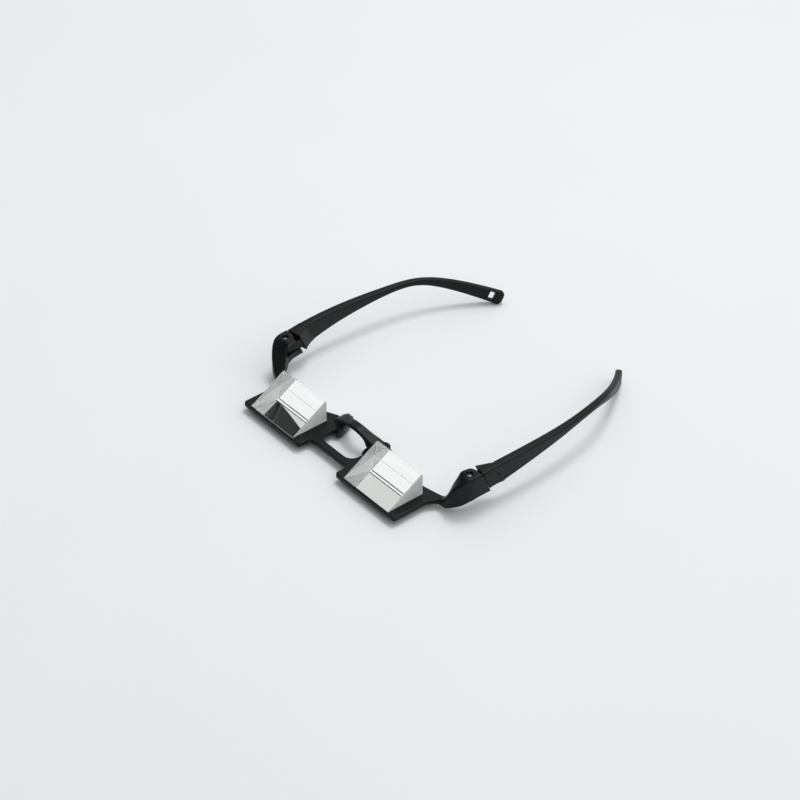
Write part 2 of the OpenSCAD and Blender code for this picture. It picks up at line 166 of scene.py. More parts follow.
def ribbed(half_a, half_b, radius, depth):
    """Rounded rectangles with their sides sunk by depth, and a smooth step up to a rib along the top."""
    half_a, half_b, radius, depth = (
        np.atleast_1d(x) + 0.0 * half_b for x in (half_a, half_b, radius, depth))
    low = sections(half_a - depth, half_b, radius, radius)
    high = sections(half_a, half_b, radius, radius)
    n, s = low.shape[1] // 4, np.linspace(0, 1, 5)
    step = np.stack([(half_a - depth)[:, None] + depth[:, None] * ramp(s),
                     (half_b - S.rib - S.rib_step)[:, None] + S.rib_step * s], -1)
    return np.concatenate(
        [low[:, :n], step, high[:, n:3 * n], step[:, ::-1] * [-1, 1], low[:, 3 * n:]], 1)


def placed(points, centre, a, b):
    """Section points set at centre along the directions a and b."""
    return centre[:, None] + points[..., :1] * a[:, None] + points[..., 1:] * b[:, None]


def shell(name, rings):
    """Closed surface over rings (m, n, 3) in millimetres, with a flat cap at each end."""
    rings = np.asarray(rings, float)
    m, n = rings.shape[:2]
    j, i = np.mgrid[0:m - 1, 0:n]
    k = (i + 1) % n
    quads = np.stack([j * n + i, j * n + k, (j + 1) * n + k, (j + 1) * n + i], -1).reshape(-1, 4)
    faces = quads.tolist() + [list(range(n))[::-1], list(range((m - 1) * n, m * n))]
    mesh = bpy.data.meshes.new(name)
    mesh.from_pydata((rings.reshape(-1, 3) * MM).tolist(), [], faces)
    bm = bmesh.new()
    bm.from_mesh(mesh)
    bmesh.ops.recalc_face_normals(bm, faces=bm.faces)
    bm.to_mesh(mesh)
    bm.free()
    obj = bpy.data.objects.new(name, mesh)
    bpy.context.scene.collection.objects.link(obj)
    return obj


def turned(name, profile, steps=72):
    """Surface of a profile [radius, z] carried round the Z axis."""
    profile = np.asarray(profile, float)
    angle = np.linspace(0, 2 * np.pi, steps, endpoint=False)
    r, z = profile[:, :1], profile[:, 1:]
    return shell(name, np.stack([r * np.cos(angle), r * np.sin(angle), z + 0 * angle], -1))


def block(name, low, high):
    """Plain cutter from corner low to corner high."""
    (x0, y0, z0), (x1, y1, z1) = low, high
    corners = np.array([[x0, y0], [x1, y0], [x1, y1], [x0, y1]])
    return shell(name, [[(x, y, z) for x, y in corners] for z in (z0, z1)])


def funnel(name, stations):
    """Rectangles [x, length, height] joined along X."""
    x, length, height = (np.asarray(stations, float)[:, i, None] for i in range(3))
    y, z = length / 2 * [-1, 1, 1, -1], height / 2 * [-1, -1, 1, 1]
    return shell(name, np.stack([x + 0 * y, y, z], -1))


def moved(obj, matrix):
    """Moves a shape's mesh, in millimetres."""
    m = matrix.copy()
    m.translation = m.translation * MM
    obj.data.transform(m)
    if m.determinant() < 0:
        obj.data.flip_normals()
    return obj


def mirrored(obj):
    """Copy of a shape on the wearer's other side."""
    twin = bpy.data.objects.new(obj.name, obj.data.copy())
    bpy.context.scene.collection.objects.link(twin)
    return moved(twin, Matrix.Scale(-1, 4, (1, 0, 0)))


def baked(obj, drop=()):
    """Puts what the modifiers give into the mesh, and removes the shapes that they used."""
    graph = bpy.context.evaluated_depsgraph_get()
    mesh = bpy.data.meshes.new_from_object(obj.evaluated_get(graph))
    obj.modifiers.clear()
    obj.data = mesh
    for other in drop:
        bpy.data.objects.remove(other)
    return obj


def combined(obj, others, how):
    """Joins the other closed shapes to obj, or cuts them from it."""
    for other in others:
        m = obj.modifiers.new(how, "BOOLEAN")
        m.operation, m.solver, m.object = how, "MANIFOLD", other
    return baked(obj, others)


def softened(obj, voxel_mm, passes, faces):
    """Rebuilds a shape on a fine grid and relaxes it, so that its edges and inner corners are round, as
    moulded. Then it thins the flat parts to leave this many faces."""
    m = obj.modifiers.new("grid", "REMESH")
    m.mode, m.voxel_size, m.use_smooth_shade = "VOXEL", voxel_mm * MM, True
    s = obj.modifiers.new("relax", "SMOOTH")
    s.factor, s.iterations = 0.5, passes
    baked(obj)
    obj.modifiers.new("thin", "DECIMATE").ratio = min(1, faces / (2 * len(obj.data.polygons)))
    return baked(obj)


def creased(obj, degrees):
    """Shades a shape smooth, with flats kept flat and crisp lines where faces meet at a sharper angle."""
    mesh = obj.data
    mesh.polygons.foreach_set("use_smooth", np.ones(len(mesh.polygons), dtype=bool))
    mesh.set_sharp_from_angle(angle=np.radians(degrees))
    obj.modifiers.new("flats", "WEIGHTED_NORMAL").keep_sharp = True
    return baked(obj)


def finish_piece(obj, name, body, materials, node):
    """Names a piece, gives it its materials, attaches it to the body that it rides on and hides the node
    that it stands for.
    """
    if not obj.data.polygons:
        raise RuntimeError(f"{name} came out empty")
    obj.name = obj.data.name = name
    faces = obj.data.polygons
    index = np.zeros(len(faces), dtype=np.int32)
    if len(materials) > 1:
        faces.foreach_get("material_index", index)
    obj.data.materials.clear()
    for mat in materials:
        obj.data.materials.append(mat)
    faces.foreach_set("material_index", index)
    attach(obj, body)
    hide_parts(node)


def finish_pair(left, name, bodies, materials, node):
    """Finishes a left piece and its mirrored copy on the right. Each stands for its side's node."""
    for obj, side, body in zip((left, mirrored(left)), ("left", "right"), bodies):
        finish_piece(obj, f"{name}_{side}", body, materials, f"{side}_{node}")


def paint_nodes(node, mat):
    """Gives this material to both sides' CAD nodes, which keep their own shape."""
    for side in ("left", "right"):
        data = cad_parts[f"{side}_{node}"].data
        data.materials.clear()
        data.materials.append(mat)


class Sizes:
    """Lengths of the glasses in millimetres, and angles in radians, as in the part's source."""
    # Prisms with what is under them, and the shelves
    prism_w, prism_d, slope, chamfer = 30, 19.3, np.radians(30.5), 0.8
    pupils, coat, glue, prism_lift = 66, 0.15, 0.2, 0.012
    shelf_t, front, rear = 2.2, 1, 3.4
    # Nose arch, pads and their wings
    arch_rise, arch_t, arch_back, arch_foot, arch_w = 7.3, 2.1, 23.3, 18, 4.8
    arch_sweep, arch_flare, arch_skew = 1.8, 1.4, 0.45
    pad_l, pad_h, pad_t, wing_t, wing_lift = 13.6, 7, 2.4, 1.3, 0.8
    pad_at, peg_r, peg_y, peg_z = (11.6, 24.6, SHELF_Z - 1.55), 0.7, 3, -1.2
    # Hinges: block, ears, tongue, seam, screw and insert
    pin_back, block_rise = 32.7, 14.4
    ear_r, ear_t, tongue_h, tongue_r, tongue_gap, ear_gap = 3.9, 3, 4.9, 2.5, 0.3, 0.1
    seam_angle, seam_gap, seam_open = np.radians(23.5), 0.25, 0.2
    screw_r, head_r, head_t, head_gap, head_sink = 0.7, 1.3, 0.8, 0.3, 0.4
    insert_r, insert_l, bore_r = 1.25, 3, screw_r + 0.05
    # Temples: line, sections, flared front, side panel with its rib, slit and cord slot
    reach, tip_inset, tip_z, temple_h, tip_h = 110.5, 22.8, 3.5, 10.6, 7.1
    temple_t, tip_t, bow, pull, tip_r = 4, 3.2, 4.2, 17.5, 2.2
    flare, flare_low, flare_out, flare_swell, crease = 3.75, 3.9, 0.45, 1.6, 0.014
    edge, panel, rib, rib_step = 0.7, 0.25, 1.3, 0.15
    slit_l, slit_w, slit_deep = 4.4, 0.35, 0.65
    slit_back, slit_drop, slit_angle = 13, 4, np.radians(34)
    slot_l, slot_h, slot_flare, slot_at = 2.7, 4.8, 0.5, 0.98
    # What follows from these
    prism_ends = (pupils / 2 - prism_w / 2, pupils / 2 + prism_w / 2)
    shelf_in = prism_ends[0] - 5.3
    shelf_out = prism_ends[1] + 4.9
    shelf_back = front + prism_d + rear
    pin_x = shelf_out + 10.9
    block_top = SHELF_Z + block_rise
    bay_top = block_top - ear_t
    bay_low = bay_top - tongue_h - 2 * ear_gap
    head_z = block_top - head_sink - head_t
    prism_h = prism_d * np.tan(slope)
    seam = np.tan(seam_angle)


S = Sizes
BACK = Matrix.Translation((0, -MID_BACK, 0))


def plate():
    """Both shelves with the bridge bar: a rounded outline, carried over a quarter-round edge at the top
    and the bottom."""
    left = [
        [S.shelf_in, 6.8, 2], [S.shelf_in, 0, 1.8], [S.shelf_out, 0, 1.8],
        [S.shelf_out, S.shelf_back - 5.5, 3], [S.shelf_out + 3.1, S.shelf_back - 0.6, 2],
        [S.shelf_out + 3.1, S.shelf_back + 3, 0.5], [S.shelf_out, S.shelf_back + 2, 6],
        [S.shelf_out - 9, S.shelf_back + 0.3, 12], [S.arch_foot + 7, S.shelf_back, 8],
        [S.arch_foot, S.arch_back + 3.6, 2], [9.5, S.arch_back + 3.6, 1.5],
        [10.8, 17.7, 8], [10.5, 10.7, 4.5]]
    line = rounded_outline(left + [[-x, y, r] for x, y, r in left[::-1]])
    ahead, behind = np.roll(line, -1, 0) - line, line - np.roll(line, 1, 0)
    along = unit(unit(ahead + 1e-12) + unit(behind + 1e-12))
    inward = np.stack([-along[:, 1], along[:, 0]], -1)
    turn = np.linspace(0, np.pi / 2, 5)
    radius = 0.4
    inset = radius * (1 - np.sin(turn))
    low = SHELF_Z - S.shelf_t + radius * (1 - np.cos(turn))
    high = SHELF_Z - radius * (1 - np.cos(turn))
    steps = np.concatenate([np.stack([inset, low], -1), np.stack([inset, high], -1)[::-1]])
    rings = [np.column_stack([line + inward * d, np.full(len(line), z)]) for d, z in steps]
    return shell("plate", rings)


def arch():
    """Nose arch: a rounded section between an inner and an outer Bezier curve, from foot to foot."""
    u = np.linspace(-1, 1, 97)
    rise = S.arch_rise
    inner = bezier([[0, rise - S.arch_t], [4.2, rise - S.arch_t], [6.6, rise * 0.55],
                    [8.6, rise * 0.3], [9.2, 0.2 - S.shelf_t]], abs(u))
    outer = bezier([[0, rise], [5.6, rise + 0.3], [4.6, rise * 0.55],
                    [12.4, rise * 0.71], [S.arch_foot - 1, -0.3]], abs(u))
    across, middle = (outer - inner) / 2, (outer + inner) / 2
    side, swept = np.where(u < 0, -1, 1), ramp(abs(u))
    centre = np.stack([
        side * middle[:, 0], S.arch_back - 0.4 + S.arch_sweep * swept, SHELF_Z + middle[:, 1]], -1)
    a = np.tile([0.0, 1, 0], (len(u), 1))
    out = unit(across)
    b = np.stack([side * out[:, 0], S.arch_skew * swept, out[:, 1]], -1)
    half = sections(S.arch_w / 2 + S.arch_flare / 2 * swept, np.linalg.norm(across, axis=1), 0.9, 0.95)
    return shell("arch", placed(half, centre, a, b))


def pad_frame():
    """Frame of a pad: X out from the nose, Y along the pad and Z up."""
    turns = [Matrix.Rotation(np.radians(a), 4, axis) for a, axis in ((-22, "Z"), (-10, "Y"), (10, "X"))]
    return Matrix.Translation(S.pad_at) @ turns[0] @ turns[1] @ turns[2]


def ovals(length, height, stations, steps=96):
    """Ovals in the pad's frame, one per station [x, scale]."""
    a = np.linspace(0, 2 * np.pi, steps, endpoint=False)
    x, k = (np.asarray(stations, float)[:, i, None] for i in (0, 1))
    return np.stack([x + 0 * a, k * length / 2 * np.cos(a), k * height / 2 * np.sin(a)], -1)


def peg(start, stop, along):
    """One of a pad's pegs, along X."""
    rod = turned("peg", [[S.peg_r, start], [S.peg_r, stop]], 32)
    turn = Matrix.Translation((0, along, S.peg_z)) @ Matrix.Rotation(np.pi / 2, 4, "Y")
    return moved(rod, pad_frame() @ turn)


def hinge_block():
    """Neck and hinge block: a rounded section carried along a smooth line, cut by the seam, the ears and
    the bay. Each row is [x, back, heading, half width, bottom, top, radius low, radius high]."""
    rows = [
        [S.shelf_out - 1.6, S.shelf_back - 1, 90, 2.4, 0.15 - S.shelf_t, -0.15, 0.8, 0.8],
        [S.shelf_out + 1, S.shelf_back - 0.2, 82, 2.2, 0.05 - S.shelf_t, -0.05, 0.8, 0.8],
        [S.shelf_out + 3.1, S.shelf_back + 0.8, 68, 2, -S.shelf_t - 0.5, 0.5, 1, 1],
        [S.shelf_out + 5.1, S.shelf_back + 1.3, 62, 2.5, -S.shelf_t - 0.6, 2.5, 1.3, 1.2],
        [S.shelf_out + 7.3, S.shelf_back + 2.6, 50, 3.2, -1.8, 8, 1.8, 1.4],
        [S.shelf_out + 9.4, S.shelf_back + 4.9, 32, 3.7, -0.4, 12.2, 2, 1.4],
        [S.pin_x - 0.5, S.pin_back - 2.4, 16, 3.9, 0.8, 14, 2.2, 1.2],
        [S.pin_x + 0.1, S.pin_back, 8, 3.9, 1.4, 14.4, 2.3, 0.9],
        [S.pin_x + 0.5, S.pin_back + 3, 4, 3.7, 1.8, 14.4, 2.3, 0.9],
        [S.pin_x + 0.9, S.pin_back + 10, 1, 3.6, 2.1, 14.4, 2.2, 0.9]]
    b = through(rows, np.linspace(0, len(rows) - 1, 118))
    top = np.minimum(b[:, 5], S.block_rise)
    heading = np.radians(b[:, 2])
    across = np.stack([-np.cos(heading), np.sin(heading), 0 * heading], -1)
    centre = np.stack([b[:, 0], b[:, 1], SHELF_Z + (b[:, 4] + top) / 2], -1)
    upright = np.tile([0.0, 0, 1], (len(b), 1))
    half = sections(b[:, 3], (top - b[:, 4]) / 2, b[:, 6], b[:, 7])
    body = shell("block", placed(half, centre, across, upright))
    slant = Matrix.Rotation(S.seam_angle, 4, "X")
    rear = moved(block("rear", (S.shelf_out, 0, -60), (S.shelf_out + 40, 60, 30)),
                 Matrix.Translation((0, S.pin_back + S.ear_r, S.block_top)) @ slant)
    side = block("side", (S.pin_x - 20, S.pin_back, SHELF_Z - 10),
                 (S.pin_x, S.pin_back + 20, SHELF_Z + 30))
    drop = 20
    cone = turned("cone", [
        [S.ear_r + drop * S.seam, S.block_top - drop], [S.ear_r - S.seam, S.block_top + 1]])
    pin = Matrix.Translation((S.pin_x, S.pin_back, 0))
    side = combined(side, [moved(cone, pin)], "DIFFERENCE")
    r = S.tongue_r + S.tongue_gap
    cuts = [
        rear, side,
        moved(turned("bay", [[r, S.bay_low], [r, S.bay_top]]), pin),
        moved(block("bay", (-20, -r, S.bay_low), (0, 30, S.bay_top)), pin),
        moved(block("bay", (-1, 0, S.bay_low), (r, 20, S.bay_top)), pin)]
    return combined(body, cuts, "DIFFERENCE")


def screw_bores():
    """Cutter of the head's seat, the bore and the insert's hole: one profile, turned about the screw."""
    seat = S.head_r + S.head_gap
    body = turned("bores", [
        [S.insert_r, S.bay_low - S.insert_l], [S.insert_r, S.bay_low + 0.5],
        [S.bore_r, S.bay_low + 0.5], [S.bore_r, S.head_z],
        [seat, S.head_z], [seat, S.block_top - 0.18], [seat + 0.4, S.block_top + 0.22]])
    return moved(body, BACK @ Matrix.Translation((S.pin_x, S.pin_back, 0)))


def moulded_front():
    """The frame's front in one piece: plate, arch, pad wings, necks and hinge blocks."""
    stations = [[0, 1], [S.wing_t - 0.3, 1], [S.wing_t - 0.09, 0.97], [S.wing_t, 0.9]]
    wing = moved(shell("wing", ovals(S.pad_l - 0.6, S.pad_h + 0.2, stations)),
                 pad_frame() @ Matrix.Translation((0, 0, S.wing_lift)))
    body = combined(plate(), [arch(), wing, mirrored(wing)], "UNION")
    inner, outer = S.prism_ends
    seat = block("seat", (inner, S.front, SHELF_Z - S.coat - S.glue),
                 (outer, S.front + S.prism_d, SHELF_Z + 20))
    half_l, half_h = S.pad_l / 2 + 0.4, S.pad_h / 2 + 0.2
    flat = moved(block("flat", (-6, -half_l, -S.pad_h), (0, half_l, half_h)), pad_frame())
    holes = [peg(-1, S.wing_t + 0.3, y) for y in (S.peg_y, -S.peg_y)]
    cuts = []
    for cut in [seat, flat, *holes]:
        cuts += [cut, mirrored(cut)]
    body = combined(body, cuts, "DIFFERENCE")
    hinge = hinge_block()
    body = combined(body, [hinge, mirrored(hinge)], "UNION")
    body = softened(moved(body, BACK), voxel_mm=0.2, passes=3, faces=150000)
    bores = screw_bores()
    return creased(combined(body, [bores, mirrored(bores)], "DIFFERENCE"), degrees=60)


def temple_line():
    """Control points of the temple's centre line: offsets out and back from the screw, and the height."""
    return [
        [S.bow * 0.52, S.reach * 0.107, SHELF_Z + S.pull * 0.53],
        [S.bow, S.reach * 0.424, SHELF_Z + S.pull * 0.8],
        [-S.bow * 0.07, S.reach * 0.654, SHELF_Z + S.pull * 0.543],
        [-S.bow * 0.67, S.reach * 0.632, SHELF_Z + S.pull],
        [S.bow * 0.29, S.reach * 0.754, SHELF_Z + S.pull * 0.686],
        [-S.tip_inset, S.reach, S.tip_z]]


def temple_frames(t):
    """Centre, heading, direction across and direction up of the temple at each t."""
    path = temple_line()
    centre = bezier(path, t) + [S.pin_x, S.pin_back, 0]
    heading = unit(bezier(path, t + 0.001) - bezier(path, t - 0.001))
    across = unit(np.cross([0, 0, 1], heading))
    return centre, heading, across, np.cross(heading, across)


def temple_rings(t, shrink=0.0, ahead=0.0, lean=0.0):
    """Rounded sections square to the temple's line, sheared by lean to follow the seam's slant."""
    centre, heading, across, up = temple_frames(t)
    shrink, ahead, lean = (np.zeros(len(t)) + x for x in (shrink, ahead, lean))
    high = S.temple_h
    height = bezier([high, high * 0.34, high * 0.02, high * 0.32, S.tip_h], t)[:, 0]
    width = bezier([S.temple_t, S.temple_t, S.temple_t * 0.7, S.tip_t], t)[:, 0]
    half_a, half_b = width / 2 - shrink * 0.6, height / 2 - shrink
    depth = S.panel * ramp((t - S.crease) * 400) * (1 - ramp((t - 0.3) * 4))
    r = np.minimum(S.edge + 0.3 * ramp(t * 2), half_a - 0.1)
    rings = placed(ribbed(half_a, half_b, r, depth), centre + heading * ahead[:, None], across, up)
    rings[..., 1] += lean[:, None] * (centre[:, 2:] - rings[..., 2])
    return rings


def flare_rings(s, shrink=0.0, ahead=0.0):
    """Sections of the temple's flared front, from the seam at s = 0 to the crease at s = 1."""
    start = temple_frames(np.array([S.crease]))[0][0]
    half_h = (S.block_rise - S.flare_low) / 2
    middle = SHELF_Z + S.flare_low + half_h
    rise = S.flare_swell * s * (1 - s)
    seam_back = (S.pin_back + S.ear_r + (S.block_top - middle) * S.seam
                 + S.seam_gap / np.cos(S.seam_angle))
    centre = np.stack([
        (S.pin_x + S.flare_out) * (1 - s) + start[0] * s,
        seam_back * (1 - s) + start[1] * s,
        middle * (1 - s) + start[2] * s + rise / 2], -1)
    half_a = S.flare * (1 - s) + S.temple_t / 2 * s - shrink
    half_b = half_h * (1 - s) + S.temple_h / 2 * s - rise / 2 - shrink
    across, up = np.tile([-1.0, 0, 0], (len(s), 1)), np.tile([0.0, 0, 1], (len(s), 1))
    rings = placed(ribbed(half_a, half_b, 1.3 - 0.6 * s - shrink / 2, 0.0), centre, across, up)
    open_by = S.seam_open * (1 - s)[:, None] * (S.pin_x + S.flare + S.flare_out - rings[..., 0])
    rings[..., 1] += S.seam * (centre[:, 2:] - rings[..., 2]) + open_by + (ahead + 0 * s)[:, None]
    return rings


def temple_arm():
    """Temple: the flared front, the long tapering arm and the rounded tip, with a hinge tongue, a cord
    slot and a slit."""
    t = np.concatenate([S.crease + np.linspace(0, 0.0025, 6), np.linspace(S.crease + 0.006, 1, 190)])
    a, lip = np.radians(np.linspace(6, 80, 10)), np.radians(np.linspace(0, 90, 5))
    e = bpy.context.scene.glasses_sizes.seam_edge / MM
    body = shell("arm", np.concatenate([
        flare_rings(0 * lip, e * (1 - np.sin(lip)), e * (1 - np.cos(lip))),
        flare_rings(np.linspace(0.07, 0.94, 12)),
        temple_rings(t, lean=S.seam * (1 - ramp(t * 5))),
        temple_rings(0 * a + 1, S.tip_r * (1 - np.cos(a)), S.tip_r * np.sin(a))]))
    pin = Matrix.Translation((S.pin_x, S.pin_back, 0))
    low, high = S.bay_low + S.ear_gap, S.bay_low + S.ear_gap + S.tongue_h
    r = S.tongue_r
    barrel = turned("tongue", [[r - 0.2, low], [r, low + 0.2], [r, high - 0.2], [r - 0.2, high]])
    web = block("tongue", (-r, 0, low), (r - 0.4, 9, high))
    tongue = [moved(barrel, pin), moved(web, pin)]
    body = combined(body, tongue, "UNION")
    bore = moved(turned("bore", [[S.bore_r, low - 2], [S.bore_r, high + 2]]), pin)
    centre, heading, _, _ = (v[0] for v in temple_frames(np.array([S.slot_at])))
    yaw, pitch = np.arctan2(-heading[0], heading[1]), np.arcsin(heading[2])
    turn = Matrix.Rotation(yaw, 4, "Z") @ Matrix.Rotation(pitch, 4, "X")
    f, half = S.slot_flare, S.tip_t / 2
    mouth = [S.slot_l + 4 * f, S.slot_h + 4 * f]
    slot = moved(funnel("slot", [[-half - f, *mouth], [f - half, S.slot_l, S.slot_h],
                                 [half - f, S.slot_l, S.slot_h], [half + f, *mouth]]),
                 Matrix.Translation(centre) @ turn)
    corner = np.array([S.slit_deep, S.slit_w / 2, S.slit_l / 2])
    place = (S.pin_x + S.flare + S.flare_out, S.pin_back + S.slit_back, S.block_top - S.slit_drop)
    slit = moved(block("slit", -corner, corner),
                 Matrix.Translation(place) @ Matrix.Rotation(S.slit_angle, 4, "X"))
    body = combined(body, [bore, slot, slit], "DIFFERENCE")
    return creased(moved(body, BACK), degrees=32)


def prism_wedge():
    """Prism: a wedge profile carried along X, with a chamfer along its top. Every edge is taken off, and
    those of the chamfer least. Face material 0 is polished glass, 1 the ground ends and edges, and 2 the
    silvered base."""
    d, h, c = S.prism_d, S.prism_h, S.chamfer
    finer, widest_ground = 0.3, 8 * MM * MM
    profile = np.array([
        [0, S.prism_lift], [d, S.prism_lift], [d, h - c], [d - c, h - c * np.tan(S.slope)]])
    rings = [np.column_stack([np.full(4, x), profile + [S.front, SHELF_Z]]) for x in S.prism_ends]
    obj = moved(shell("prism", rings), BACK)
    edges = np.array([v.co for v in obj.data.vertices])[np.array(obj.data.edge_keys)] / MM
    along, above = np.ptp(edges[..., 0], axis=1) > 1, edges[..., 2].max(1) > SHELF_Z + 1
    weight = np.where(along & above, finer, 1).astype(np.float32)
    obj.data.attributes.new("bevel_weight_edge", "FLOAT", "EDGE").data.foreach_set("value", weight)
    bevel = obj.modifiers.new("ground edges", "BEVEL")
    bevel.width, bevel.segments = bpy.context.scene.glasses_sizes.glass_edge, 2
    bevel.limit_method = "WEIGHT"
    baked(obj)
    faces = obj.data.polygons
    normals, areas = np.zeros(len(faces) * 3), np.zeros(len(faces))
    faces.foreach_get("normal", normals)
    faces.foreach_get("area", areas)
    normals = normals.reshape(-1, 3)
    ground = (abs(normals[:, 0]) > 0.2) | (areas < widest_ground)
    index = np.where(ground, 1, np.where(normals[:, 2] < -0.9, 2, 0))
    faces.foreach_set("material_index", index.astype(np.int32))
    return obj


def nose_pad():
    """Soft pad: ovals that close in a low dome, with a rounded rim, two pegs and a flat foot."""
    a = np.linspace(0, np.pi / 2 * 0.97, 14)
    rim = np.column_stack([-S.pad_t * (0.3 + 0.7 * np.sin(a)), np.cos(a) ** 0.55])
    stations = np.concatenate([[[0, 0.95], [-0.12, 0.985], [-0.35, 1]], rim])
    body = moved(shell("pad", ovals(S.pad_l, S.pad_h, stations)), pad_frame())
    body = combined(body, [peg(-0.9, S.wing_t + 0.2, y) for y in (-S.peg_y, S.peg_y)], "UNION")
    body = combined(body, [block("under", (-30, -10, -20), (40, 60, 0))], "DIFFERENCE")
    return softened(moved(body, BACK), voxel_mm=0.14, passes=2, faces=16000)


def screw():
    """Screw: a turned profile with a low domed head, cut by a cross recess."""
    top, low = S.head_z + S.head_t, S.bay_low - S.insert_l + 0.3
    half = bpy.context.scene.glasses_sizes.recess / MM / 2
    a = np.linspace(0, np.pi / 2, 14)
    dome_h, arm, deep = 0.4, 0.75, 0.45
    dome = np.column_stack([S.head_r * np.cos(a), top - dome_h + dome_h * np.sin(a)])[:-1]
    profile = np.concatenate([
        [[0.4, low], [S.screw_r, low + 0.3], [S.screw_r, top - S.head_t], [S.head_r, top - S.head_t]],
        dome, [[0.15, top]]])
    body = turned("screw", profile, 64)
    arms = [block("arm", (-x, -y, top - deep), (x, y, top + 1)) for x, y in ((arm, half), (half, arm))]
    body = creased(combined(body, arms, "DIFFERENCE"), degrees=35)
    turn = Matrix.Rotation(0.4, 4, "Z")
    return moved(body, BACK @ Matrix.Translation((S.pin_x, S.pin_back, 0)) @ turn)


# Materials. The finest grains are drawn coarser than real, because they'd be under a pixel.

def moulded_nylon():
    """Nylon from a spark-eroded mould: near black and matte, with a leathery grain and cloudy patches."""
    mat, tree, shader, place = new_material("moulded_nylon", IOR=1.53, Specular_IOR_Level=0.19)
    lump = bpy.context.scene.glasses_sizes.grain
    fine = add(tree, "TexNoise", Vector=place, Scale=1 / lump, Detail=2).outputs["Fac"]
    cloud = add(tree, "TexNoise", Vector=place, Scale=1 / (9 * MM), Detail=3).outputs["Fac"]
    patch = add(tree, "MapRange", Value=cloud, i1=0.3, i2=0.7, i3=0, i4=1).outputs[0]
    tone = add(tree, "Mix", {"data_type": "RGBA"}, Factor=patch,
               i6=chosen("nylon", 0.8), i7=chosen("nylon", 1.25))
    gloss = add(tree, "MapRange", Value=cloud, i1=0.3, i2=0.7, i3=0.34, i4=0.44)
    bump = add(tree, "Bump", Strength=0.35, Distance=lump / 8, Height=fine)
    feed(shader, Base_Color=tone.outputs[2], Roughness=gloss.outputs[0], Normal=bump.outputs[0])
    return mat


def moulded_silicone():
    """Silicone rubber from a polished mould: blue-black, with a satin skin that dust dulls in patches."""
    mat, tree, shader, place = new_material("moulded_silicone", IOR=1.43)
    cloud = add(tree, "TexNoise", Vector=place, Scale=1 / (3 * MM), Detail=3).outputs["Fac"]
    patch = add(tree, "MapRange", Value=cloud, i1=0.3, i2=0.7, i3=0, i4=1).outputs[0]
    tone = add(tree, "Mix", {"data_type": "RGBA"}, Factor=patch,
               i6=chosen("rubber", 0.8), i7=chosen("rubber", 1.25))
    gloss = add(tree, "MapRange", Value=cloud, i1=0.3, i2=0.7, i3=0.36, i4=0.5)
    fine = add(tree, "TexNoise", Vector=place, Scale=1 / (0.2 * MM), Detail=2).outputs["Fac"]
    bump = add(tree, "Bump", Strength=0.15, Distance=0.02 * MM, Height=fine)
    feed(shader, Base_Color=tone.outputs[2], Roughness=gloss.outputs[0], Normal=bump.outputs[0])
    return mat


def polished_crown_glass():
    """Crown glass, pitch-polished: clear and sharp, with a few faint smears that only the gloss shows."""
    mat, tree, shader, place = new_material(
        "polished_crown_glass", Base_Color=chosen("glass"), IOR=1.517, Transmission_Weight=1.0)
    smear = add(tree, "TexNoise", Vector=place, Scale=1 / (6 * MM), Detail=3).outputs["Fac"]
    gloss = add(tree, "MapRange", Value=smear, i1=0.66, i2=0.8, i3=0, i4=0.02)
    feed(shader, Roughness=gloss.outputs[0])
    return mat


def ground_glass():
    """Glass ground with loose grit and left unpolished: white, frosted, and a little lit from within."""
    mat, tree, shader, place = new_material("ground_glass", IOR=1.517, Transmission_Weight=0.7)
    grit = add(tree, "TexNoise", Vector=place, Scale=1 / (0.4 * MM), Detail=3).outputs["Fac"]
    tone = add(tree, "Mix", {"data_type": "RGBA"}, Factor=grit,
               i6=chosen("frost", 0.96), i7=chosen("frost"))
    gloss = add(tree, "MapRange", Value=grit, i1=0.3, i2=0.7, i3=0.48, i4=0.58)
    bump = add(tree, "Bump", Strength=0.1, Distance=0.02 * MM, Height=grit)
    feed(shader, Base_Color=tone.outputs[2], Roughness=gloss.outputs[0], Normal=bump.outputs[0])
    return mat


def vacuum_silvering():
    """Vacuum-coated silver seen through glass: a clean bright mirror, a shade darker where it is thin."""
    mat, tree, shader, place = new_material("vacuum_silvering", Metallic=1.0, Roughness=0.0)
    thin = add(tree, "TexNoise", Vector=place, Scale=1 / (6 * MM), Detail=3).outputs["Fac"]
    tone = add(tree, "Mix", {"data_type": "RGBA"}, Factor=thin,
               i6=chosen("silver", 0.97), i7=chosen("silver"))
    feed(shader, Base_Color=tone.outputs[2])
    return mat


def cured_adhesive():
    """Clear adhesive, cured: a pale, slightly cloudy layer."""
    mat, tree, shader, place = new_material("cured_adhesive", IOR=1.5, Roughness=0.25)
    cloud = add(tree, "TexNoise", Vector=place, Scale=1 / (1.5 * MM), Detail=3).outputs["Fac"]
    tone = add(tree, "Mix", {"data_type": "RGBA"}, Factor=cloud,
               i6=chosen("adhesive", 0.85), i7=chosen("adhesive"))
    feed(shader, Base_Color=tone.outputs[2])
    return mat


def turned_metal(name, colour, rough):
    """Turned metal: fine tool marks, with a patchy film that changes its tone and gloss."""
    mat, tree, shader, place = new_material(name, Metallic=1.0)
    film = add(tree, "TexNoise", Vector=place, Scale=1 / (0.5 * MM), Detail=3).outputs["Fac"]
    tone = add(tree, "Mix", {"data_type": "RGBA"}, Factor=film,
               i6=chosen(colour, 0.6), i7=chosen(colour, 1.2))
    gloss = add(tree, "MapRange", Value=film, i1=0.3, i2=0.7, i3=rough - 0.06, i4=rough + 0.06)
    marks = add(tree, "TexNoise", Vector=place, Scale=1 / (0.08 * MM), Detail=2).outputs["Fac"]
    bump = add(tree, "Bump", Strength=0.2, Distance=0.01 * MM, Height=marks)
    feed(shader, Base_Color=tone.outputs[2], Roughness=gloss.outputs[0], Normal=bump.outputs[0])
    return mat


